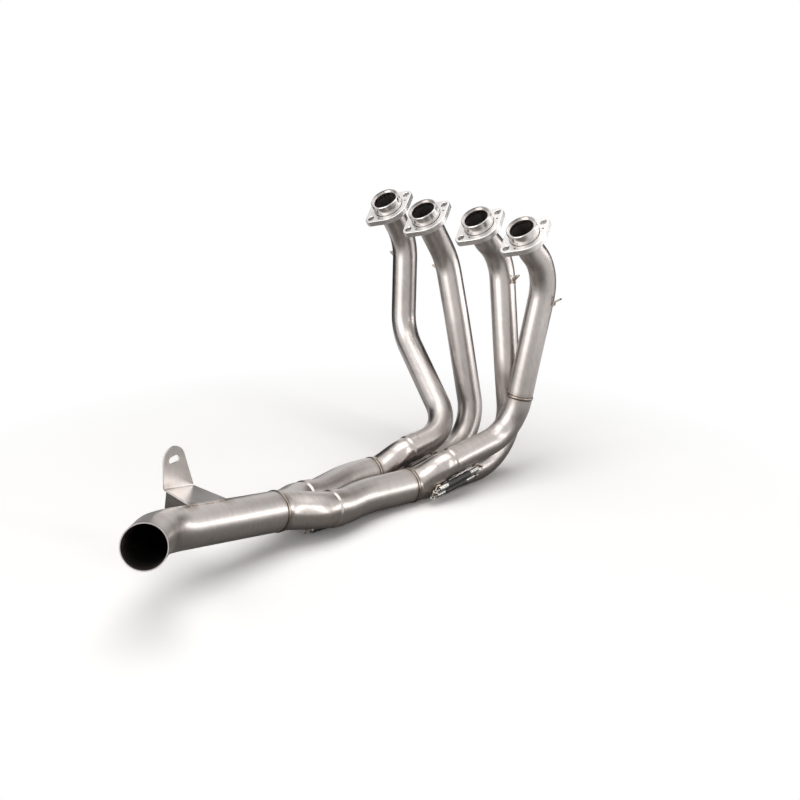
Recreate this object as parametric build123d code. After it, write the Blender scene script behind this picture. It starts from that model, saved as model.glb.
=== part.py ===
from build123d import *
import os
from math import cos, radians, sin

# Exhaust header for a transverse inline four, four pipes into two into one.
# Millimetres. X runs along the row of ports, Y points forwards, Z is up.
# The lowest pipes lie on z = 0 and the origin is the centre of the footprint.

# Tube stock
TUBE_WALL = 1.2
PRIMARY_OD = 35.0
SECONDARY_OD = 45.0
OUTLET_OD = 50.8
SLIP_CLEARANCE = 0.2
SOCKET_WALL = 1.2

# Port flanges and the collars that they press on
PORT_FLANGE_THICKNESS = 8.5
PORT_BOLT_SPACING = 60.0
PORT_BOLT_HOLE_D = 8.5
PORT_FLANGE_CENTRE_R = 29.0
PORT_FLANGE_EAR_R = 8.2
PORT_FLANGE_EDGE_ROUND = 0.9
PORT_BOLT_CHAMFER = 0.7
PORT_TOOLING_HOLE_D = 2.6
PORT_TOOLING_HOLE_INSET = 7.3
PORT_TOOLING_HOLE_SIDE = 10.8
PORT_TILT_DEG = 33.0
PORT_BOLT_LINE_DEG = 68.0
COLLAR_OD = 41.0
COLLAR_STAND = 14.6
COLLAR_RIM_WALL = 1.6
COLLAR_RIM_DEPTH = 3.0
COLLAR_EDGE = 0.6
COLLAR_TUBE_POCKET = 9.0
COLLAR_SEAT_DEPTH = 2.5
COLLAR_GAP = 0.7
FIT_GAP = 0.1

# Slip joints
SOCKET_LENGTH = 17.0
SOCKET_RAMP = 3.0
SOCKET_END_GAP = 0.4
PAIR_TILT_DEG = 30.0

# Weld beads
BEAD_HALF_WIDTH = 2.4
BEAD_HEIGHT = 1.0

# Spring hooks, tension springs and their rubber sleeves
HOOK_WIRE_D = 2.4
HOOK_CLEARANCE = 0.25
JOINT_HOOK_GAP = 4.8
UPPER_HOOK_GAP = 7.0
HOOK_LEG = 5.4
HOOK_RISE = 6.5
HOOK_REACH = 5.0
SPRING_WIRE_D = 1.6
SPRING_OD = 7.6
SPRING_CLEARANCE = 0.3
SPRING_NECK = 4.5
SPRING_GROOVE = 0.5
SPRING_SHOWN_TURNS = 3
SLEEVE_OD = 8.8
SLEEVE_WALL = 0.5
SLEEVE_SHORTER_BY = 5.6

# Hanger bracket on the outlet pipe
SHEET = 2.5
SHELF_START = 86.0
SHELF_END = 142.0
SHELF_WIDTH = 61.0
SHELF_PAST_CREST = 2.0
FOLD_START = 84.0
FOLD_END = 128.5
FOLD_INNER_R = 1.5
FOLD_LENGTH = 4.0
TAB_CENTRE = 118.0
TAB_HOLE_HEIGHT = 37.5
TAB_TOP_R = 16.0
TAB_SLOT_LENGTH = 16.0
TAB_SLOT_WIDTH = 9.0
TAB_SLOT_TURN_DEG = 15.0
GUSSET_DROP = 24.0
GUSSET_FOOT = 13.0
GUSSET_TIP = 12.0
GUSSET_INSET = 4.0

# Places of the pieces, before they are moved over the footprint's centre
FOOTPRINT_CENTRE = Vector(-30.615, 8.5, 0.0)
PORT_FACES = ((-158.0, 301.7, 348.7), (-85.9, 301.7, 344.7), (9.9, 301.7, 348.1), (87.0, 301.7, 346.4))
RIGHT_LOWER_SOCKET = (32.5, 201.5, 18.9)
LEFT_LOWER_SOCKET = (-38.5, 195.0, 18.9)
RUN_SKEW_DEG = 5.0
UPPER_RUN_FALL = 0.13
RIGHT_RING = (23.6, 154.6, 24.0)
LEFT_RING = (-40.1, 149.1, 24.0)
RING_DIRECTION = (-0.12, -0.985, 0.06)
COLLECTOR_NECK = 7.0
ARM_LEAN = 0.5
ARM_SECTIONS = 8
ARM_OVERLAP = 2.0
ARM_INSET = 0.1
FINAL_RING = (3.5, -61.0, 49.5)
OUTLET_RISE_DEG = 11.0
OUTLET_SKEW_DEG = 3.0
FINAL_BRANCH_LENGTH = 70.0
ELBOW_DISTANCE = 187.0
ELBOW_R = 95.0
OUTLET_MOUTH = (108.0, -327.0, 127.5)

SEAM_HEIGHT = 119.5
SECONDARY_LEAD_IN = 26.0
SECONDARY_ROUTES = {"right": (75.0, [150.0, 110.0]), "left": (40.0, [160.0, 90.0])}

# Spring ends in the layout, on the collector and then on the tube
PAIR_SPRINGS = {
    "upper": ((60.0, 167.0, 21.0), (69.7, 246.0, 37.4)),
    "lower": ((55.5, 166.0, 12.0), (61.0, 246.0, 23.0)),
}
LEFT_PAIR_SHIFT = (-71.0, -6.5, 0.0)
LEFT_COLLECTOR_SHIFT = (-67.0, -6.0, 0.0)
# Spring ends at the final joints: along the outlet pipe's axis, to its side and up
FINAL_SPRING = ((-50.0, 8.5, -30.0), (-108.0, 8.9, -24.9))
# Height and facing of the upper hook on each primary tube
TUBE_HOOKS = (
    (272.0, (-1.0, 0.0, 0.0)), (267.0, (-1.0, 0.0, 0.0)),
    (266.0, (1.0, 0.06, 0.0)), (253.0, (0.92, 0.39, 0.0)),
)

PRIMARY_R = PRIMARY_OD / 2
SECONDARY_R = SECONDARY_OD / 2
OUTLET_R = OUTLET_OD / 2
COLLAR_R = COLLAR_OD / 2
PRIMARY_SOCKET_BORE_R = PRIMARY_R + SLIP_CLEARANCE
SECONDARY_SOCKET_BORE_R = SECONDARY_R + SLIP_CLEARANCE
PRIMARY_PAIR_PITCH = 2 * PRIMARY_SOCKET_BORE_R + SOCKET_WALL
SECONDARY_PAIR_PITCH = 2 * SECONDARY_SOCKET_BORE_R + SOCKET_WALL


def at(point):
    """A place on the part, from its place in the layout."""
    return Vector(*point) - FOOTPRINT_CENTRE


def unit(x, y, z):
    return Vector(x, y, z).normalized()


PORT_AXIS = unit(0, -sin(radians(PORT_TILT_DEG)), cos(radians(PORT_TILT_DEG)))
PORT_UPHILL = unit(0, cos(radians(PORT_TILT_DEG)), sin(radians(PORT_TILT_DEG)))
LOWER_RUN = unit(sin(radians(RUN_SKEW_DEG)), cos(radians(RUN_SKEW_DEG)), 0)
UPPER_RUN = unit(LOWER_RUN.X, LOWER_RUN.Y, UPPER_RUN_FALL)
OUTLET_AXIS = unit(
    sin(radians(OUTLET_SKEW_DEG)) * cos(radians(OUTLET_RISE_DEG)),
    -cos(radians(OUTLET_SKEW_DEG)) * cos(radians(OUTLET_RISE_DEG)),
    sin(radians(OUTLET_RISE_DEG)),
)
OUTLET_SIDE = unit(cos(radians(OUTLET_SKEW_DEG)), sin(radians(OUTLET_SKEW_DEG)), 0)
OUTLET_UP = OUTLET_AXIS.cross(OUTLET_SIDE)
RING_AXIS = unit(*RING_DIRECTION)
PAIR_OFFSET = Vector(
    PRIMARY_PAIR_PITCH * sin(radians(PAIR_TILT_DEG)), 0, PRIMARY_PAIR_PITCH * cos(radians(PAIR_TILT_DEG))
)
RIGHT_LOWER = at(RIGHT_LOWER_SOCKET)
RIGHT_UPPER = RIGHT_LOWER + PAIR_OFFSET
LEFT_LOWER = at(LEFT_LOWER_SOCKET)
LEFT_UPPER = LEFT_LOWER + PAIR_OFFSET
FINAL_SOCKETS = at(FINAL_RING) - OUTLET_AXIS * FINAL_BRANCH_LENGTH
FINAL_RIGHT = FINAL_SOCKETS + OUTLET_SIDE * (SECONDARY_PAIR_PITCH / 2)
FINAL_LEFT = FINAL_SOCKETS - OUTLET_SIDE * (SECONDARY_PAIR_PITCH / 2)


def frame_on(origin, axis, side=Vector(1, 0, 0)):
    """A plane whose normal is axis and whose X lies as near as it can to side."""
    return Plane(origin=origin, x_dir=side - axis * side.dot(axis), z_dir=axis)


def pipe(points, radii, outside_r, wall):
    """A bent tube: straight runs joined by tangent arcs, open at both ends."""
    path = FilletPolyline(*points, radius=radii)
    section = Plane(origin=path @ 0, z_dir=path % 0) * (Circle(outside_r) - Circle(outside_r - wall))
    return sweep(section, path=path)


def barrel(origin, axis, radius, length):
    """A solid cylinder that starts at origin and runs along axis."""
    return frame_on(origin, axis) * Cylinder(radius, length, align=(Align.CENTER, Align.CENTER, Align.MIN))


def socket(shoulder, forward, arm_r, socket_r, length):
    """The solid of a slip socket: a stub inside the arm, a short cone and a cylinder."""
    stub_r = arm_r - ARM_INSET
    outline = Polyline(
        (0, -ARM_OVERLAP), (stub_r, -ARM_OVERLAP), (stub_r, 0), (socket_r, SOCKET_RAMP), (socket_r, length),
        (0, length), (0, -ARM_OVERLAP),
    )
    return frame_on(shoulder, forward) * revolve(Plane.XZ * make_face(outline), Axis.Z)


def bead(centre, axis, tube_r):
    """A weld bead round a butt joint, rooted in the tube on the far side of centre."""
    root = tube_r - TUBE_WALL / 2
    lip = tube_r + FIT_GAP / 2
    crown = tube_r + BEAD_HEIGHT
    outline = Polyline(
        (root, 0), (root, -BEAD_HALF_WIDTH), (tube_r, -BEAD_HALF_WIDTH)
    ) + ThreePointArc((tube_r, -BEAD_HALF_WIDTH), (crown, 0), (lip, BEAD_HALF_WIDTH)) + Polyline(
        (lip, BEAD_HALF_WIDTH), (lip, 0), (root, 0)
    )
    return frame_on(centre, axis) * revolve(Plane.XZ * make_face(outline), Axis.Z)


def branch(start, start_axis, end, end_axis, start_r, end_r):
    """One curved, widening arm of a collector, solid, lofted through circles."""
    handle = (end - start).length / 3
    corners = (start, start + start_axis * handle, end - end_axis * handle, end)
    rings = []
    for step in range(ARM_SECTIONS):
        t = step / (ARM_SECTIONS - 1)
        weights = ((1 - t) ** 3, 3 * t * (1 - t) ** 2, 3 * t ** 2 * (1 - t), t ** 3)
        slopes = (-3 * (1 - t) ** 2, 3 * (1 - t) * (1 - 3 * t), 3 * t * (2 - 3 * t), 3 * t ** 2)
        centre = sum((corner * weight for corner, weight in zip(corners, weights)), Vector(0, 0, 0))
        heading = sum((corner * slope for corner, slope in zip(corners, slopes)), Vector(0, 0, 0))
        ring = frame_on(centre, heading.normalized(), Vector(0, 0, 1))
        rings.append(ring * Circle(start_r + (end_r - start_r) * t))
    return loft(rings)


def leaning(start, end, end_axis):
    """The heading of an arm where it enters the neck, turned a little towards its own side."""
    return (end_axis + (end - start).normalized() * ARM_LEAN).normalized()


def merge_collector(sockets, tube_r, ring, ring_axis, ring_r):
    """Two slip sockets whose arms run together into one round end with a weld ring."""
    neck_start = ring - ring_axis * COLLECTOR_NECK
    solids = []
    for grow, over in ((SOCKET_WALL, 0.0), (0.0, 1.0)):
        arm_r = tube_r - TUBE_WALL + grow
        end_r = ring_r - TUBE_WALL + grow
        socket_r = tube_r + SLIP_CLEARANCE + grow
        body = Part()
        for order, (shoulder, forward) in enumerate(sockets):
            heading = leaning(shoulder, neck_start, ring_axis)
            tip = neck_start + heading * (1 - order)
            tip_r = end_r - 0.3 - 0.2 * order
            arm = branch(shoulder, forward * -1, tip, heading, arm_r, tip_r)
            body += arm + socket(shoulder, forward, arm_r, socket_r, SOCKET_LENGTH + over)
        body += barrel(neck_start - ring_axis * 2, ring_axis, end_r, COLLECTOR_NECK + 2 + over)
        solids.append(body)
    shell = max((solids[0] - solids[1]).solids(), key=lambda solid: solid.volume)
    return shell + bead(ring, ring_axis, ring_r)


def port_flange(face):
    """Two-bolt plate, loose on its tube, with a counterbore for the collar."""
    half = PORT_BOLT_SPACING / 2
    plate = make_hull(
        (
            Circle(PORT_FLANGE_CENTRE_R).edges()
            + (Pos(half, 0) * Circle(PORT_FLANGE_EAR_R)).edges()
            + (Pos(-half, 0) * Circle(PORT_FLANGE_EAR_R)).edges()
        )
    )
    body = extrude(plate, -PORT_FLANGE_THICKNESS)
    rims = body.edges().group_by(Axis.Z)
    body = fillet(rims[-1] + rims[0], PORT_FLANGE_EDGE_ROUND)
    body -= Cylinder(PRIMARY_R + COLLAR_GAP, 3 * PORT_FLANGE_THICKNESS)
    body -= Pos(0, 0, -COLLAR_SEAT_DEPTH) * Cylinder(
        COLLAR_R + COLLAR_GAP, COLLAR_SEAT_DEPTH + 1, align=(Align.CENTER, Align.CENTER, Align.MIN)
    )
    for side in (-1, 1):
        body -= Pos(side * half, 0) * Cylinder(PORT_BOLT_HOLE_D / 2, 3 * PORT_FLANGE_THICKNESS)
        mouth = Cone(
            PORT_BOLT_HOLE_D / 2, PORT_BOLT_HOLE_D / 2 + PORT_BOLT_CHAMFER, PORT_BOLT_CHAMFER,
            align=(Align.CENTER, Align.CENTER, Align.MAX),
        )
        body -= Pos(side * half, 0) * mouth
        body -= Pos(side * (half - PORT_TOOLING_HOLE_INSET), -PORT_TOOLING_HOLE_SIDE) * Cylinder(
            PORT_TOOLING_HOLE_D / 2, 3 * PORT_FLANGE_THICKNESS
        )
    return flange_plane(face) * body


def flange_plane(face):
    """The top face of a port flange, X along its two bolts."""
    turn = radians(PORT_BOLT_LINE_DEG)
    bolts = Vector(1, 0, 0) * cos(turn) + PORT_UPHILL * sin(turn)
    return Plane(origin=face, x_dir=bolts, z_dir=PORT_AXIS)


def port_collar(face):
    """Turned ring on the tube's end that the flange pushes into the port."""
    bore_r = PRIMARY_R - TUBE_WALL
    pocket_r = PRIMARY_R + FIT_GAP
    rim_r = COLLAR_R - COLLAR_RIM_WALL
    base = FIT_GAP - COLLAR_SEAT_DEPTH
    shelf = base + COLLAR_TUBE_POCKET
    ledge = COLLAR_STAND - COLLAR_RIM_DEPTH
    outline = Polyline(
        (pocket_r, base), (COLLAR_R - COLLAR_EDGE, base), (COLLAR_R, base + COLLAR_EDGE),
        (COLLAR_R, COLLAR_STAND - COLLAR_EDGE), (COLLAR_R - COLLAR_EDGE, COLLAR_STAND),
        (rim_r, COLLAR_STAND), (rim_r, ledge), (bore_r, ledge), (bore_r, shelf), (pocket_r, shelf),
        (pocket_r, base),
    )
    ring = revolve(Plane.XZ * make_face(outline), Axis.Z)
    return flange_plane(face) * ring


def tube_start(face):
    """Where a primary tube begins, against the ledge inside its collar."""
    return face + PORT_AXIS * (COLLAR_TUBE_POCKET - COLLAR_SEAT_DEPTH - FIT_GAP)


def socket_seat(shoulder, forward):
    """Where a tube ends inside its socket, just clear of the shoulder."""
    return shoulder + forward * (SOCKET_RAMP + SOCKET_END_GAP)


def primary_routes():
    """Corner points and bend radii of the four primary pipes, port to socket."""
    faces = [at(face) for face in PORT_FACES]
    down = PORT_AXIS * -1
    one = [
        tube_start(faces[0]), faces[0] + down * 64.0, at((-145.0, 318.5, 166.7)),
        LEFT_UPPER + UPPER_RUN * 80.0, socket_seat(LEFT_UPPER, UPPER_RUN),
    ]
    two = [
        tube_start(faces[1]), faces[1] + down * 80.0, at((-64.5, 344.5, 194.7)),
        LEFT_LOWER + LOWER_RUN * 151.0, socket_seat(LEFT_LOWER, LOWER_RUN),
    ]
    three = [
        tube_start(faces[2]), faces[2] + down * 26.5, at((9.6, 349.1, 297.0)), at((37.1, 334.1, 149.0)),
        RIGHT_LOWER + LOWER_RUN * 141.0, socket_seat(RIGHT_LOWER, LOWER_RUN),
    ]
    four = [
        tube_start(faces[3]), faces[3] + down * 26.5, at((86.7, 352.0, 290.5)), at((71.2, 317.5, 105.5)),
        RIGHT_UPPER + UPPER_RUN * 103.5, socket_seat(RIGHT_UPPER, UPPER_RUN),
    ]
    bends = ([71.0, 65.0, 58.0], [66.0, 120.0, 65.0], [59.0, 58.0, 120.0, 74.0], [59.0, 70.0, 70.0, 49.0])
    return list(zip((one, two, three, four), bends))


def at_height(high, low, height):
    """The point at a height on the straight line between two corners."""
    share = (high.Z - height) / (high.Z - low.Z)
    return high + (low - high) * share


def add_primary_tubes(parts):
    """Four bent tubes; the fourth is welded from two lengths."""
    routes = primary_routes()
    for number, (points, radii) in enumerate(routes[:3], start=1):
        parts[f"primary_tube_{number}"] = pipe(points, radii, PRIMARY_R, TUBE_WALL)
    points, radii = routes[3]
    down = (points[3] - points[2]).normalized()
    seam = at_height(points[2], points[3], SEAM_HEIGHT)
    upper = pipe(points[:3] + [seam], radii[:2], PRIMARY_R, TUBE_WALL)
    parts["primary_tube_4_upper"] = upper + bead(seam, down, PRIMARY_R)
    parts["primary_tube_4_lower"] = pipe([seam + down * FIT_GAP] + points[3:], radii[2:], PRIMARY_R, TUBE_WALL)


def add_collectors(parts):
    """Two-into-one collectors, the secondary tubes between them and the outlet pipe."""
    pairs = (
        ("right", RIGHT_UPPER, RIGHT_LOWER, at(RIGHT_RING), FINAL_RIGHT),
        ("left", LEFT_UPPER, LEFT_LOWER, at(LEFT_RING), FINAL_LEFT),
    )
    forward = OUTLET_AXIS * -1
    for name, upper, lower, ring, final_socket in pairs:
        sockets = ((upper, UPPER_RUN), (lower, LOWER_RUN))
        parts[f"primary_collector_{name}"] = merge_collector(
            sockets, PRIMARY_R, ring, RING_AXIS, SECONDARY_R
        )
        start = ring + RING_AXIS * FIT_GAP
        distance, radii = SECONDARY_ROUTES[name]
        points = [
            start, ring + RING_AXIS * distance, final_socket + forward * SECONDARY_LEAD_IN,
            socket_seat(final_socket, forward),
        ]
        parts[f"secondary_tube_{name}"] = pipe(points, radii, SECONDARY_R, TUBE_WALL)
    ring = at(FINAL_RING)
    parts["final_collector"] = merge_collector(
        ((FINAL_RIGHT, forward), (FINAL_LEFT, forward)), SECONDARY_R, ring, OUTLET_AXIS, OUTLET_R
    )
    points = [ring + OUTLET_AXIS * FIT_GAP, ring + OUTLET_AXIS * ELBOW_DISTANCE, at(OUTLET_MOUTH)]
    parts["outlet_pipe"] = pipe(points[::-1], [ELBOW_R], OUTLET_R, TUBE_WALL)


def square_to(along, outward):
    """The part of a direction that lies across another, made one long."""
    return (along - outward * along.dot(outward)).normalized()


def wire(points, wire_r):
    """Round wire bent sharply through its points."""
    path = Polyline(*points)
    return sweep(Plane(origin=path @ 0, z_dir=path % 0) * Circle(wire_r), path=path, transition=Transition.RIGHT)


def hook(foot, along, outward, rise, gap):
    """Bent wire loop: two legs lie on the tube at foot, the closed end stands off it."""
    across = along.cross(outward).normalized() * (gap / 2)
    near = foot + outward * (HOOK_WIRE_D / 2 + HOOK_CLEARANCE)
    lift = outward * rise + along * HOOK_REACH
    heel = along * -HOOK_LEG
    return wire(
        [
            near - across + heel, near - across, near - across + lift,
            near + across + lift, near + across, near + across + heel,
        ],
        HOOK_WIRE_D / 2,
    )


def hook_under(body, bar, along):
    """A hook whose closed end is at bar, standing on the nearest skin of body."""
    above = bar - along * HOOK_REACH
    foot = body.distance_to_with_closest_points(Vertex(*above))[1]
    outward = (above - foot).normalized()
    rise = (above - foot).length - HOOK_WIRE_D / 2 - HOOK_CLEARANCE
    along = square_to(along, outward)
    end = foot + outward * (above - foot).length + along * HOOK_REACH
    return hook(foot, along, outward, rise, JOINT_HOOK_GAP), end, outward


def coil(origin, line, length):
    """Close-wound coil, its turns cut as rings at both ends."""
    outer_r = SPRING_OD / 2
    groove_r = outer_r - SPRING_GROOVE
    shown = SPRING_SHOWN_TURNS * SPRING_WIRE_D
    profile = [(0, 0)]
    for base in (0, length - shown):
        for turn in range(SPRING_SHOWN_TURNS):
            low = base + turn * SPRING_WIRE_D
            profile += [(groove_r, low), (outer_r, low + SPRING_WIRE_D / 2), (groove_r, low + SPRING_WIRE_D)]
    profile += [(0, length), (0, 0)]
    outline = [point for point, after in zip(profile, profile[1:] + [None]) if point != after]
    return frame_on(origin, line) * revolve(Plane.XZ * make_face(Polyline(*outline)), Axis.Z)


def spring(start, end, start_outward, end_outward):
    """Tension spring between two hook bars: a coil and two open ends round the bars."""
    line = (end - start).normalized()
    wire_r = SPRING_WIRE_D / 2
    turn_r = HOOK_WIRE_D / 2 + SPRING_CLEARANCE + wire_r
    body = coil(start + line * (turn_r + SPRING_NECK), line, (end - start).length - 2 * (turn_r + SPRING_NECK))
    for bar, way, outward in ((start, line, start_outward), (end, line * -1, end_outward)):
        side = square_to(outward, line)
        body += wire(
            [
                bar + way * (turn_r + SPRING_NECK + wire_r), bar + way * (turn_r * 2),
                bar + way * turn_r * 0.5 + side * turn_r, bar - way * turn_r * 0.6 + side * turn_r,
                bar - way * turn_r * 1.1, bar - way * turn_r * 0.6 - side * turn_r, bar - side * turn_r,
            ],
            wire_r,
        )
    return body


def spring_sleeve(start, end):
    """Rubber tube that keeps a spring from rattling."""
    line = (end - start).normalized()
    turn_r = (HOOK_WIRE_D + SPRING_WIRE_D) / 2 + SPRING_CLEARANCE
    inset = turn_r + SPRING_NECK + SLEEVE_SHORTER_BY
    ring = Circle(SLEEVE_OD / 2) - Circle(SLEEVE_OD / 2 - SLEEVE_WALL)
    return extrude(frame_on(start + line * inset, line) * ring, (end - start).length - 2 * inset)


def add_spring(parts, name, collector, collector_bar, tube, tube_bar):
    """A slip joint's two hooks, the spring between them and its sleeve."""
    line = (tube_bar - collector_bar).normalized()
    parts[f"collector_hook_{name}"], rear, rear_out = hook_under(parts[collector], collector_bar, line * -1)
    parts[f"tube_hook_{name}"], front, front_out = hook_under(parts[tube], tube_bar, line)
    parts[f"joint_spring_{name}"] = spring(rear, front, rear_out, front_out)
    parts[f"spring_sleeve_{name}"] = spring_sleeve(rear, front)


def outlet_point(distance, across, up):
    """A place in the outlet pipe's own axes, from the final ring."""
    return at(FINAL_RING) + OUTLET_AXIS * distance + OUTLET_SIDE * across + OUTLET_UP * up


def add_joint_springs(parts):
    """A spring over each of the six slip joints."""
    tubes = {"right": ("primary_tube_4_lower", "primary_tube_3"), "left": ("primary_tube_1", "primary_tube_2")}
    shifts = {"right": (Vector(0, 0, 0),) * 2, "left": (Vector(*LEFT_COLLECTOR_SHIFT), Vector(*LEFT_PAIR_SHIFT))}
    for side, names in tubes.items():
        for level, tube in zip(("upper", "lower"), names):
            collector_bar, tube_bar = (
                at(bar) + shift for bar, shift in zip(PAIR_SPRINGS[level], shifts[side])
            )
            add_spring(parts, f"{side}_{level}", f"primary_collector_{side}", collector_bar, tube, tube_bar)
    for side, sign in (("right", 1), ("left", -1)):
        bars = [outlet_point(distance, across * sign, up) for distance, across, up in FINAL_SPRING]
        add_spring(parts, f"final_{side}", "final_collector", bars[0], f"secondary_tube_{side}", bars[1])


def add_upper_hooks(parts):
    """One hook below the port on each primary tube."""
    routes = primary_routes()
    for number, (height, facing) in enumerate(TUBE_HOOKS, start=1):
        corners = routes[number - 1][0]
        low = next(place for place, corner in enumerate(corners) if corner.Z < height)
        high = corners[low - 1]
        upward = (high - corners[low]).normalized()
        outward = square_to(unit(*facing), upward)
        foot = at_height(high, corners[low], height) + outward * PRIMARY_R
        parts[f"upper_hook_{number}"] = hook(foot, upward, outward, HOOK_RISE, UPPER_HOOK_GAP)


def outlet_plane(distance):
    """A plane across the outlet pipe: X to its side, Y up."""
    return Plane(origin=outlet_point(distance, 0, 0), x_dir=OUTLET_SIDE, z_dir=OUTLET_AXIS)


def hanger_bracket():
    """Sheet that stands on the pipe's crest and folds up into a slotted ear."""
    fold = -SHELF_WIDTH
    top = TAB_HOLE_HEIGHT + TAB_TOP_R + 1
    base = OUTLET_R + FIT_GAP
    outer = FilletPolyline(
        (SHELF_PAST_CREST, 0), (fold, 0), (fold, top), radius=FOLD_INNER_R + SHEET
    )
    inner = FilletPolyline(
        (fold + SHEET, top), (fold + SHEET, SHEET), (SHELF_PAST_CREST, SHEET), radius=FOLD_INNER_R
    )
    ends = [Line(outer @ 1, inner @ 0), Line(inner @ 1, outer @ 0)]
    section = make_face(outer.edges() + inner.edges() + ends)
    folded = extrude(
        Plane(origin=outlet_point(SHELF_START - 5, 0, base), x_dir=OUTLET_SIDE, z_dir=OUTLET_AXIS) * section,
        SHELF_END - SHELF_START + 10,
    )
    ear = make_hull(
        (Pos(TAB_CENTRE, TAB_HOLE_HEIGHT) * Circle(TAB_TOP_R)).edges()
        + [Line((FOLD_START, -1), (FOLD_END, -1)), Line((FOLD_START, FOLD_LENGTH), (FOLD_END, FOLD_LENGTH))]
    )
    ear -= Pos(TAB_CENTRE, TAB_HOLE_HEIGHT) * Rot(0, 0, -TAB_SLOT_TURN_DEG) * SlotOverall(
        TAB_SLOT_LENGTH, TAB_SLOT_WIDTH
    )
    shelf = make_face(Polyline(
        (FOLD_START, fold - 1), (FOLD_START, fold + FOLD_LENGTH), (SHELF_START, SHELF_PAST_CREST),
        (SHELF_END, SHELF_PAST_CREST), (FOLD_END, fold + FOLD_LENGTH), (FOLD_END, fold - 1),
        (FOLD_START, fold - 1),
    ))
    across = Plane(origin=outlet_point(0, fold - 1, base), x_dir=OUTLET_AXIS, z_dir=OUTLET_SIDE * -1)
    above = Plane(origin=outlet_point(0, 0, base - 1), x_dir=OUTLET_AXIS, z_dir=OUTLET_UP)
    keep = extrude(across * ear, -(SHEET + 2)) + extrude(above * shelf, FOLD_LENGTH + 1)
    return folded & keep


def hanger_gusset():
    """Rib across the pipe that holds up the bracket's shelf."""
    top = OUTLET_R
    side = 1 - SHELF_WIDTH
    rib = make_face(Polyline(
        (side, top), (side, top - GUSSET_DROP), (-GUSSET_TIP - 6, GUSSET_FOOT), (-GUSSET_TIP, top), (side, top)
    ))
    rib -= Circle(OUTLET_R + FIT_GAP)
    return extrude(outlet_plane(FOLD_END - GUSSET_INSET - SHEET) * rib, SHEET)


def nodes():
    """Every piece of the header by name."""
    parts = {}
    for number, face in enumerate(PORT_FACES, start=1):
        parts[f"port_flange_{number}"] = port_flange(at(face))
        parts[f"port_collar_{number}"] = port_collar(at(face))
    add_primary_tubes(parts)
    add_collectors(parts)
    add_upper_hooks(parts)
    add_joint_springs(parts)
    parts["hanger_bracket"] = hanger_bracket()
    parts["hanger_gusset"] = hanger_gusset()
    return parts


if __name__ == "__main__":
    os.makedirs("parts", exist_ok=True)
    for name, shape in nodes().items():
        export_step(shape, f"parts/{name}.step")
        print(name, round(shape.volume), [round(v, 1) for v in shape.bounding_box().size])
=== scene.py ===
import bpy
import math
from mathutils import Matrix, Vector


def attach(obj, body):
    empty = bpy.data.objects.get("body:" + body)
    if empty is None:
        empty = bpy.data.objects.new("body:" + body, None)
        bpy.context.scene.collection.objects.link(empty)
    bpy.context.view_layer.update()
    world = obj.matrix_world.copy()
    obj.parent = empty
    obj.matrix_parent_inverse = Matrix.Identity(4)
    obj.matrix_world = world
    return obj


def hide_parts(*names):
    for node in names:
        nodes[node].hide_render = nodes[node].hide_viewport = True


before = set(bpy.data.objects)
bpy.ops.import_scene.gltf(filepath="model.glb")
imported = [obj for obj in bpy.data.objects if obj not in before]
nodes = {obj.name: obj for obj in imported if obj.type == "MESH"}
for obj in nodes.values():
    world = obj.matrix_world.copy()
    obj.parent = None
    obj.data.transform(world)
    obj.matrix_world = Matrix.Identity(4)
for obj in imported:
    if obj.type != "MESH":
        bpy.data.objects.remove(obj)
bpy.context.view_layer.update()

# Lengths are in metres, directions of view and of the lamps in degrees.

# The photograph's camera
AZIMUTH = math.radians(44.0)
ELEVATION = math.radians(19.5)
CAMERA_AT = Vector((1.229215, -1.0881, 0.747))
SENSOR_MM = 36.0
LENS_MM = 63.0
RIGHT = Vector((math.cos(AZIMUTH), math.sin(AZIMUTH), 0.0))
AHEAD = Vector((
    -math.sin(AZIMUTH) * math.cos(ELEVATION), math.cos(AZIMUTH) * math.cos(ELEVATION), -math.sin(ELEVATION)
))
TO_CAMERA = Vector((math.sin(AZIMUTH), -math.cos(AZIMUTH), 0.0))

# Butt welds: the tube that starts there, its direction, and how far the mark reaches from the ring's middle
RING_AXIS = Vector((-0.1207, -0.9909, 0.0604))
OUTLET_AXIS = Vector((0.0514, -0.9803, 0.1908))
SEAM_AXIS = Vector((-0.0821, -0.1827, -0.9797))
WELDED_TUBES = (
    ("secondary_tube_right", RING_AXIS, 0.030),
    ("secondary_tube_left", RING_AXIS, 0.030),
    ("outlet_pipe", OUTLET_AXIS, 0.034),
    ("primary_tube_4_lower", SEAM_AXIS, 0.024),
)
WELD_GAP = 0.0001
FLATNESS = 0.0001

# Marks of heat
STAIN_WIDTH = 0.008
STAIN_STRENGTH = 0.5
LINE_OFF_WELD = 0.0019
LINE_WIDTH = 0.0009
BAR_SPOT_R = 0.011
TACK_SPOT_R = 0.012
STAIN_BROWN = (0.24, 0.18, 0.135)
LINE_BROWN = (0.07, 0.045, 0.03)
SPOT_BROWN = (0.2, 0.14, 0.1)
LINE_CORE = 1.25
SPECKLE_SCALE = 170.0
SPECKLE_LIFT = 0.15

# Satin metal: broad clouds under fine brushing, as shares of one noise
BRUSH_STRETCH = (30.0, 260.0, 90.0)
BRUSH_DETAIL = 3.0
BRUSH_CONTRAST = 0.65
CLOUD_SCALE = 7.0
CLOUD_SHARE = 0.62
CLOUD_RANGE = (0.38, 0.62)
ROUGH_SPREAD = 0.1

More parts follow.
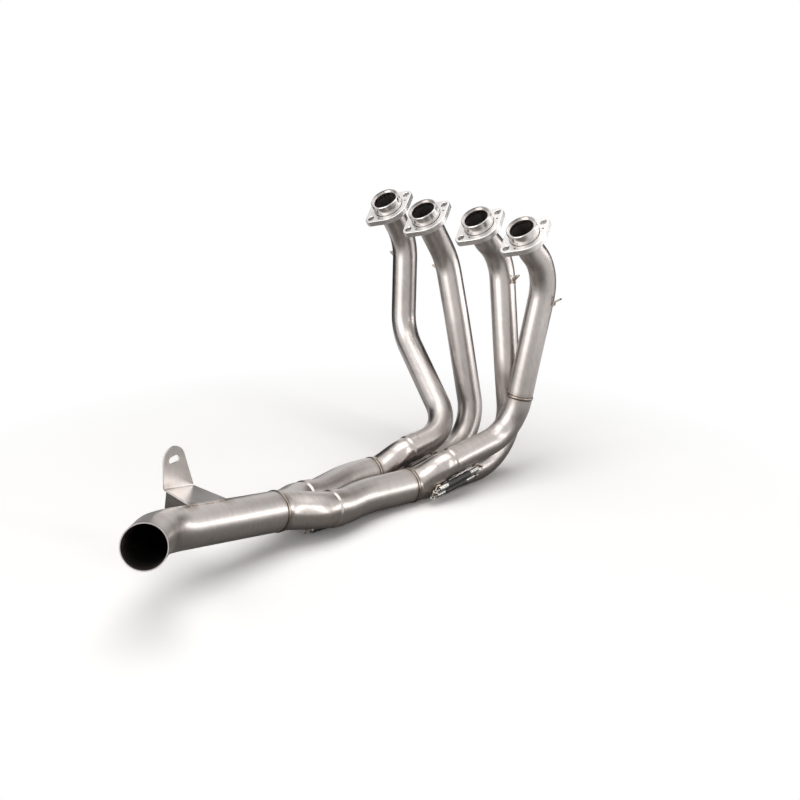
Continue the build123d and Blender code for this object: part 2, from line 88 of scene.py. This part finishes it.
# Springs, by the name of their slip joint, with the share of the coil that the sleeve covers
SPRINGS = {
    "right_upper": 0.56, "right_lower": 0.56, "left_upper": 0.56, "left_lower": 0.56,
    "final_right": 0.84, "final_left": 0.84,
}
SLEEVE_TO_BAR = 0.0124
WIRE_R = 0.0008
LOOP_R = 0.0023
LOOP_DEGREES = range(300, 20, -12)
NECK = 0.0042
KNEE_ALONG_NECK = 0.35
KNEE_ASIDE = 0.3
COIL_R = 0.003
COIL_PITCH = 0.00168
STEPS_A_TURN = 12
RUN_IN_STEPS = 8
SLEEVE_R = 0.00424
SLEEVE_END_R = 0.00392
SLEEVE_WRINKLE = 0.00012
SLEEVE_WAVE = 2.1
SLEEVE_STEPS = 12

# Short welds along the bracket's shelf, as shares of its edge
SHELF_WELDS = ((0.0, 0.2), (0.36, 0.56), (0.8, 1.0))
SHELF_WELD_R = 0.0011
SHELF_WELD_STEPS = 12
SHELF_WELD_SHIFT = Vector((0.0004, 0, -0.0006))
SHELF_WOBBLE = Vector((0.0003, 0, 0.0002))
SHELF_WAVES = (2.3, 1.7)
RIB_TOP_SHIFT = Vector((-0.0009, -0.0025, 0.0006))
RIB_FOOT_SHIFT = Vector((-0.0013, -0.0004, -0.0017))

# Floor: white to the camera, lit and shadowed inside a circle, plain white beyond it
FLOOR_SIZE = 9.0
FLOOR_BELOW = 0.0003
FLOOR_MIDDLE = (0.05, 0.05, 0.0)
FLOOR_WHITE_FROM = 0.66
FLOOR_FADE = 2.0
PAPER_TO_CAMERA = (1.2, 1.198, 1.195)
PAPER_TO_LAMPS = (0.3, 0.29, 0.28)

# Black cards that only reflections see
CARD_MIDDLE = Vector((0.0, 0.24, 0.32))
CARD_AWAY = 0.62
CARD_TALL = 0.62
CARD_BLACK = (0.02, 0.02, 0.02)

# Lamps and world
LAMPS_AROUND = Vector((0.02, 0.08, 0.14))
LAMP_COLOUR = (1.0, 0.99, 0.975)
WORLD_WHITE = (1.0, 1.0, 1.0)
WORLD_DIM = (0.12, 0.118, 0.115)

WIRE_SIDES = 8
LATHE_SIDES = 40


def corners_of(name):
    """The corners of a node's mesh, where they lie in the scene."""
    node = nodes[name]
    return [node.matrix_world @ corner.co for corner in node.data.vertices]


def mean(points):
    return sum(points, Vector()) / len(points)


def farthest(name, way):
    """The corner of a node that lies farthest that way."""
    return max(corners_of(name), key=Vector(way).dot)


def weld_middle(tube, axis):
    """The middle of the ring where a tube starts along the axis."""
    corners = corners_of(tube)
    start = min(axis.dot(corner) for corner in corners)
    return mean([corner for corner in corners if axis.dot(corner) < start + FLATNESS]) - axis * WELD_GAP


def spring_bars(name):
    """The middles of the two hook bars that a spring joins: the collector's and the tube's."""
    sleeve = corners_of("spring_sleeve_" + name)
    middle = mean(sleeve)
    ahead = mean(corners_of("tube_hook_" + name)) - mean(corners_of("collector_hook_" + name))
    rear = mean([corner for corner in sleeve if ahead.dot(corner - middle) < 0])
    front = mean([corner for corner in sleeve if ahead.dot(corner - middle) > 0])
    line = (front - rear).normalized()
    return rear - line * SLEEVE_TO_BAR, front + line * SLEEVE_TO_BAR


WELDS = [(weld_middle(tube, axis), axis, reach) for tube, axis, reach in WELDED_TUBES]
SHELF_REAR = farthest("hanger_bracket", (1, 1, -1))
SHELF_FRONT = farthest("hanger_bracket", (1, -1, -1))
TACKS = (
    SHELF_REAR,
    SHELF_FRONT,
    farthest("hanger_gusset", (-1, 0, 0)) + RIB_TOP_SHIFT,
    farthest("hanger_gusset", (1, -1, -1)) + RIB_FOOT_SHIFT,
)
HEAT_SPOTS = [(bar, BAR_SPOT_R) for name in SPRINGS for bar in spring_bars(name)]
HEAT_SPOTS += [(spot, TACK_SPOT_R) for spot in TACKS]


class Shader:
    """Builds the nodes of one material, or of the world."""

    def __init__(self, owner, output="ShaderNodeOutputMaterial"):
        self.owner = owner
        owner.use_nodes = True
        self.tree = owner.node_tree
        self.tree.nodes.clear()
        self.out = self.add(output)

    def add(self, kind, **values):
        node = self.tree.nodes.new(kind)
        for key, value in values.items():
            setattr(node, key, value)
        return node

    def link(self, source, target):
        self.tree.links.new(source, target)

    def finish(self, surface):
        self.link(surface, self.out.inputs["Surface"])
        return self.owner

    def math(self, operation, a, b=None, clamp=False):
        node = self.add("ShaderNodeMath", operation=operation, use_clamp=clamp)
        for place, value in enumerate((a, b)):
            if value is None:
                continue
            if isinstance(value, (int, float)):
                node.inputs[place].default_value = value
            else:
                self.link(value, node.inputs[place])
        return node.outputs[0]

    def vector(self, operation, a, b=None):
        node = self.add("ShaderNodeVectorMath", operation=operation)
        self.link(a, node.inputs[0])
        if b is not None:
            node.inputs[1].default_value = b
        return node.outputs["Value" if operation in ("DISTANCE", "DOT_PRODUCT", "LENGTH") else "Vector"]

    def noise(self, vector, scale, detail=2.0, roughness=0.5):
        node = self.add("ShaderNodeTexNoise")
        node.inputs["Scale"].default_value = scale
        node.inputs["Detail"].default_value = detail
        node.inputs["Roughness"].default_value = roughness
        self.link(vector, node.inputs["Vector"])
        return node.outputs["Fac"]

    def position(self):
        return self.add("ShaderNodeNewGeometry").outputs["Position"]

    def ramp(self, value, stops):
        node = self.add("ShaderNodeValToRGB")
        while len(node.color_ramp.elements) < len(stops):
            node.color_ramp.elements.new(0.5)
        for element, (place, colour) in zip(node.color_ramp.elements, stops):
            element.position = place
            element.color = (*colour, 1.0)
        self.link(value, node.inputs["Fac"])
        return node.outputs["Color"]

    def tint(self, factor, under, colour):
        """A colour laid over another by factor."""
        node = self.add("ShaderNodeMix", data_type="RGBA")
        self.link(factor, node.inputs[0])
        self.link(under, node.inputs[6])
        node.inputs[7].default_value = (*colour, 1.0)
        return node.outputs[2]

    def near(self, vector, point, reach):
        """1 at the point, 0 at the reach and beyond."""
        inside = self.math("DIVIDE", self.vector("DISTANCE", vector, point), reach)
        return self.math("SUBTRACT", 1.0, inside, clamp=True)

    def ring(self, vector, point, axis, reach):
        """How far a place lies along the axis from point, and a metre more once out of reach."""
        away = self.vector("SUBTRACT", vector, point)
        along = self.math("ABSOLUTE", self.vector("DOT_PRODUCT", away, axis))
        return self.math("ADD", along, self.math("GREATER_THAN", self.vector("LENGTH", away), reach))

    def bump(self, height, strength, distance):
        node = self.add("ShaderNodeBump")
        node.inputs["Strength"].default_value = strength
        node.inputs["Distance"].default_value = distance
        self.link(height, node.inputs["Height"])
        return node.outputs["Normal"]

    def principled(self, colour, rough, metallic, normal=None):
        node = self.add("ShaderNodeBsdfPrincipled")
        node.inputs["Metallic"].default_value = metallic
        self.link(colour, node.inputs["Base Color"])
        if isinstance(rough, float):
            node.inputs["Roughness"].default_value = rough
        else:
            self.link(rough, node.inputs["Roughness"])
        if normal is not None:
            self.link(normal, node.inputs["Normal"])
        return node.outputs[0]

    def plain(self, kind, colour):
        """A shader with nothing but its colour set."""
        node = self.add(kind)
        node.inputs["Color"].default_value = (*colour, 1.0)
        return node.outputs[0]

    def mix(self, factor, a, b):
        node = self.add("ShaderNodeMixShader")
        for socket, source in zip(node.inputs, (factor, a, b)):
            self.link(source, socket)
        return node.outputs[0]

    def shown(self, path):
        """1 for what the camera sees, directly, in metal or through glass."""
        seen = self.math("MAXIMUM", path["Is Camera Ray"], path["Is Glossy Ray"])
        return self.math("MAXIMUM", seen, path["Is Transmission Ray"])


def heat_marks(s, at, colour):
    """Brown lines and stains at the butt welds, and speckled spots at hooks and tacks."""
    gap, spots = None, None
    for middle, axis, reach in WELDS:
        one = s.ring(at, middle, axis, reach)
        gap = one if gap is None else s.math("MINIMUM", gap, one)
    for point, reach in HEAT_SPOTS:
        one = s.near(at, point, reach)
        spots = one if spots is None else s.math("MAXIMUM", spots, one)
    stain = s.math("SUBTRACT", 1.0, s.math("DIVIDE", gap, STAIN_WIDTH), clamp=True)
    off_line = s.math("ABSOLUTE", s.math("SUBTRACT", gap, LINE_OFF_WELD))
    line = s.math("SUBTRACT", LINE_CORE, s.math("DIVIDE", off_line, LINE_WIDTH), clamp=True)
    speckle = s.math("ADD", s.noise(at, SPECKLE_SCALE), SPECKLE_LIFT)
    colour = s.tint(s.math("MULTIPLY", stain, STAIN_STRENGTH), colour, STAIN_BROWN)
    colour = s.tint(line, colour, LINE_BROWN)
    return s.tint(s.math("MULTIPLY", spots, speckle, clamp=True), colour, SPOT_BROWN)


def metal(name, dark, light, rough, grain=0.0, welded=False):
    """Satin metal with faint cloudiness."""
    s = Shader(bpy.data.materials.new(name))
    at = s.position()
    brushed = s.noise(s.vector("MULTIPLY", at, BRUSH_STRETCH), 1.0, BRUSH_DETAIL, BRUSH_CONTRAST)
    clouds = s.math("MULTIPLY", s.noise(at, CLOUD_SCALE), CLOUD_SHARE)
    cloudy = s.math("ADD", clouds, s.math("MULTIPLY", brushed, 1 - CLOUD_SHARE))
    colour = s.ramp(cloudy, list(zip(CLOUD_RANGE, (dark, light))))
    if welded:
        colour = heat_marks(s, at, colour)
    spread = s.math("ADD", s.math("MULTIPLY", brushed, ROUGH_SPREAD), rough - ROUGH_SPREAD / 2)
    normal = s.bump(s.noise(at, grain), 0.1, 0.0003) if grain else None
    return s.finish(s.principled(colour, spread, 1.0, normal))


def rubber(name):
    s = Shader(bpy.data.materials.new(name))
    at = s.position()
    colour = s.ramp(s.noise(at, 120.0, 3.0), [(0.3, (0.022, 0.021, 0.021)), (0.75, (0.06, 0.058, 0.057))])
    return s.finish(s.principled(colour, 0.5, 0.0, s.bump(s.noise(at, 500.0), 0.3, 0.0004)))


TUBE = metal("tube", (0.38, 0.350, 0.335), (0.51, 0.472, 0.452), 0.33, welded=True)
FORMED = metal("collector_sheet", (0.38, 0.346, 0.328), (0.51, 0.467, 0.445), 0.29, welded=True)
FLANGE = metal("port_flange", (0.62, 0.60, 0.588), (0.73, 0.71, 0.698), 0.42, grain=1500.0)
COLLAR = metal("turned_collar", (0.50, 0.475, 0.46), (0.68, 0.652, 0.635), 0.22)
SHEET = metal("bracket_sheet", (0.60, 0.56, 0.54), (0.74, 0.70, 0.68), 0.36, welded=True)
HOOK = metal("hook_wire", (0.22, 0.165, 0.125), (0.42, 0.37, 0.32), 0.25)
SPRING = metal("spring_wire", (0.50, 0.49, 0.47), (0.66, 0.65, 0.63), 0.22)
# Painted shade: the rib under the bracket's shelf is coloured near black for the shadow that it lies in.
PAINTED_SHADE_RIB = metal("rib_sheet", (0.07, 0.063, 0.057), (0.12, 0.11, 0.10), 0.5)
BEAD = metal("weld_bead", (0.11, 0.08, 0.06), (0.34, 0.29, 0.25), 0.36)
RUBBER = rubber("rubber_sleeve")

# The first word that a node's name holds decides its finish; the rest are tubes.
FINISHES = (
    ("port_flange", FLANGE), ("port_collar", COLLAR), ("spring_sleeve", RUBBER), ("joint_spring", SPRING),
    ("hook", HOOK), ("hanger_gusset", PAINTED_SHADE_RIB), ("hanger_bracket", SHEET), ("collector", FORMED), ("", TUBE),
)
for name, node in nodes.items():
    node.data.materials.clear()
    node.data.materials.append(next(finish for word, finish in FINISHES if word in name))


def new_object(name, corners, faces, finish):
    mesh = bpy.data.meshes.new(name)
    mesh.from_pydata([tuple(corner) for corner in corners], [], faces)
    mesh.materials.append(finish)
    piece = bpy.data.objects.new(name, mesh)
    bpy.context.collection.objects.link(piece)
    return piece


def solid_piece(name, corners, faces, finish):
    """A smooth mesh that belongs to the object."""
    piece = new_object(name, corners, faces, finish)
    piece.data.polygons.foreach_set("use_smooth", [True] * len(faces))
    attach(piece, "root")
    return piece


def wire_mesh(points, radius):
    """Corners and faces of a round wire through the points, with closed ends."""
    corners, faces = [], []
    side = (points[1] - points[0]).orthogonal().normalized()
    for place, point in enumerate(points):
        along = (points[min(place + 1, len(points) - 1)] - points[max(place - 1, 0)]).normalized()
        side = (side - along * side.dot(along)).normalized()
        other = along.cross(side)
        for step in range(WIRE_SIDES):
            turn = 2 * math.pi * step / WIRE_SIDES
            corners.append(point + (side * math.cos(turn) + other * math.sin(turn)) * radius)
    for row in range(len(points) - 1):
        for step in range(WIRE_SIDES):
            a, b = row * WIRE_SIDES + step, row * WIRE_SIDES + (step + 1) % WIRE_SIDES
            faces.append((a, b, b + WIRE_SIDES, a + WIRE_SIDES))
    faces.append(tuple(range(WIRE_SIDES))[::-1])
    faces.append(tuple(range(len(corners) - WIRE_SIDES, len(corners))))
    return corners, faces


def lathe_mesh(origin, along, profile):
    """Corners and faces of a closed ring profile of (distance, radius) turned about along."""
    side = along.orthogonal().normalized()
    other = along.cross(side)
    corners, faces = [], []
    for step in range(LATHE_SIDES):
        turn = 2 * math.pi * step / LATHE_SIDES
        out = side * math.cos(turn) + other * math.sin(turn)
        corners += [origin + along * distance + out * radius for distance, radius in profile]
    size = len(profile)
    for step in range(LATHE_SIDES):
        after = (step + 1) % LATHE_SIDES
        for place in range(size):
            ahead = (place + 1) % size
            faces.append((step * size + place, step * size + ahead, after * size + ahead, after * size + place))
    return corners, faces


def shelf_weld(name, first, last):
    """A short uneven bead along the bracket's edge, between two shares of it."""
    run = []
    for step in range(SHELF_WELD_STEPS + 1):
        part = first + (last - first) * step / SHELF_WELD_STEPS
        across, up = SHELF_WAVES
        wobble = SHELF_WOBBLE * Vector((math.sin(step * across), 0, math.cos(step * up)))
        run.append(SHELF_REAR.lerp(SHELF_FRONT, part) + wobble + SHELF_WELD_SHIFT)
    solid_piece(name, *wire_mesh(run, SHELF_WELD_R), BEAD)


def spring_loop(name, hook, bar, way):
    """An end of a spring: an open loop round a hook's bar, and the neck that leads off from it."""
    outward = bar - mean(corners_of(hook + name))
    side = (outward - way * outward.dot(way)).normalized()
    turns = [math.radians(degrees) for degrees in LOOP_DEGREES]
    loop = [bar + (way * math.cos(turn) + side * math.sin(turn)) * LOOP_R for turn in turns]
    knee = bar + way * (LOOP_R + NECK * KNEE_ALONG_NECK) + side * LOOP_R * KNEE_ASIDE
    return loop + [knee, bar + way * (LOOP_R + NECK)]


def wound_coil(start, line, length):
    """The middle line of a close-wound coil that runs in from its axis at both ends."""
    across = line.orthogonal().normalized()
    other = line.cross(across)
    steps = round(length / COIL_PITCH) * STEPS_A_TURN
    points = []
    for step in range(steps + 1):
        turn = 2 * math.pi * step / STEPS_A_TURN
        spread = COIL_R * min(1.0, step / RUN_IN_STEPS, (steps - step) / RUN_IN_STEPS)
        out = across * math.cos(turn) + other * math.sin(turn)
        points.append(start + line * length * (step / steps) + out * spread)
    return points


def sleeve_profile(inset, length, phase):
    """(distance, radius) of a wrinkled sleeve with drawn-in ends."""
    profile = [(inset, SLEEVE_END_R)]
    for step in range(SLEEVE_STEPS + 1):
        bulge = SLEEVE_WRINKLE * (1 + math.sin(step * SLEEVE_WAVE + phase))
        profile.append((inset + length * step / SLEEVE_STEPS, SLEEVE_R + bulge))
    return profile + [(inset + length, SLEEVE_END_R)]


for number, (first, last) in enumerate(SHELF_WELDS, start=1):
    shelf_weld(f"shelf_weld_{number}", first, last)

for name, covered in SPRINGS.items():
    rear, front = spring_bars(name)
    line = (front - rear).normalized()
    start = rear + line * (LOOP_R + NECK)
    length = (front - rear).length - 2 * (LOOP_R + NECK)
    rear_end = spring_loop(name, "collector_hook_", rear, line)
    front_end = spring_loop(name, "tube_hook_", front, -line)
    route = rear_end + wound_coil(start, line, length)[1:-1] + front_end[::-1]
    wound = solid_piece("coil_" + name, *wire_mesh(route, WIRE_R), SPRING)
    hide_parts("joint_spring_" + name)
    profile = sleeve_profile(length * (1 - covered) / 2, length * covered, len(name))
    cover = solid_piece("sleeve_" + name, *lathe_mesh(start, line, profile), RUBBER)
    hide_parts("spring_sleeve_" + name)


def plane(name, wide, tall, matrix, finish):
    """A flat sheet that is staging, not part of the object."""
    x, y = wide / 2, tall / 2
    piece = new_object(name, [(-x, -y, 0), (x, -y, 0), (x, y, 0), (-x, y, 0)], [(0, 1, 2, 3)], finish)
    piece.matrix_world = matrix
    return piece


def paper():
    """White sweep: lit round the object, so that its shadow shows, and plain white further out."""
    s = Shader(bpy.data.materials.new("paper"))
    path = s.add("ShaderNodeLightPath").outputs
    dim = s.plain("ShaderNodeBsdfDiffuse", PAPER_TO_LAMPS)
    lit = s.mix(path["Is Camera Ray"], dim, s.plain("ShaderNodeBsdfDiffuse", PAPER_TO_CAMERA))
    inner = s.math("MULTIPLY", s.near(s.position(), FLOOR_MIDDLE, FLOOR_WHITE_FROM), FLOOR_FADE, clamp=True)
    faded = s.mix(inner, s.add("ShaderNodeEmission").outputs[0], lit)
    return s.finish(s.mix(s.shown(path), dim, faded))


def card():
    s = Shader(bpy.data.materials.new("card"))
    return s.finish(s.plain("ShaderNodeBsdfDiffuse", CARD_BLACK))


def toward(left_deg, up_deg):
    """A direction seen from the object, left_deg to the left of the camera and up_deg above level."""
    turn, rise = math.radians(left_deg), math.radians(up_deg)
    flat = TO_CAMERA * math.cos(turn) - RIGHT * math.sin(turn)
    return flat * math.cos(rise) + Vector((0, 0, math.sin(rise)))


def black_card(name, left_deg, wide, finish):
    """A sheet that darkens reflections and nothing else."""
    way = toward(left_deg, 0)
    turned = way.to_track_quat("Z", "Y").to_matrix().to_4x4()
    sheet = plane(name, wide, CARD_TALL, Matrix.Translation(CARD_MIDDLE + way * CARD_AWAY) @ turned, finish)
    sheet.visible_camera = False
    sheet.visible_shadow = False
    sheet.visible_diffuse = False


def softbox(name, left_deg, up_deg, away, wide, tall, radiance):
    """An area light that faces the middle of the object."""
    way = toward(left_deg, up_deg)
    lamp = bpy.data.lights.new(name, "AREA")
    lamp.shape = "RECTANGLE"
    lamp.size = wide
    lamp.size_y = tall
    lamp.energy = radiance * math.pi * wide * tall
    lamp.color = LAMP_COLOUR
    holder = bpy.data.objects.new(name, lamp)
    holder.location = LAMPS_AROUND + way * away
    holder.rotation_euler = way.to_track_quat("Z", "Y").to_euler()
    bpy.context.collection.objects.link(holder)


def studio():
    """World that shows white and hardly lights."""
    s = Shader(bpy.data.worlds.new("studio"), "ShaderNodeOutputWorld")
    dim, white = (s.plain("ShaderNodeBackground", colour) for colour in (WORLD_DIM, WORLD_WHITE))
    return s.finish(s.mix(s.shown(s.add("ShaderNodeLightPath").outputs), dim, white))


def photo_camera():
    lens = bpy.data.cameras.new("photo_camera")
    lens.sensor_width = SENSOR_MM
    lens.lens = LENS_MM
    camera = bpy.data.objects.new("photo_camera", lens)
    turned = Matrix((RIGHT, RIGHT.cross(AHEAD), -AHEAD)).transposed().to_4x4()
    camera.matrix_world = Matrix.Translation(CAMERA_AT) @ turned
    bpy.context.collection.objects.link(camera)
    return camera


plane("floor", FLOOR_SIZE, FLOOR_SIZE, Matrix.Translation((0, 0, -FLOOR_BELOW)), paper())
BLACK = card()
black_card("left_card", left_deg=132, wide=0.62, finish=BLACK)
black_card("right_card", left_deg=-138, wide=0.5, finish=BLACK)
softbox("key", left_deg=47, up_deg=18, away=2.3, wide=1.75, tall=2.7, radiance=2.6)
softbox("strip", left_deg=-56, up_deg=12, away=2.4, wide=0.26, tall=2.6, radiance=6.5)
softbox("side", left_deg=-98, up_deg=7, away=2.2, wide=1.9, tall=0.42, radiance=4.2)
softbox("top", left_deg=-30, up_deg=86, away=2.2, wide=2.2, tall=2.2, radiance=2.0)
bpy.context.scene.world = studio()
bpy.context.scene.camera = photo_camera()
bpy.context.scene.view_settings.view_transform = "Standard"
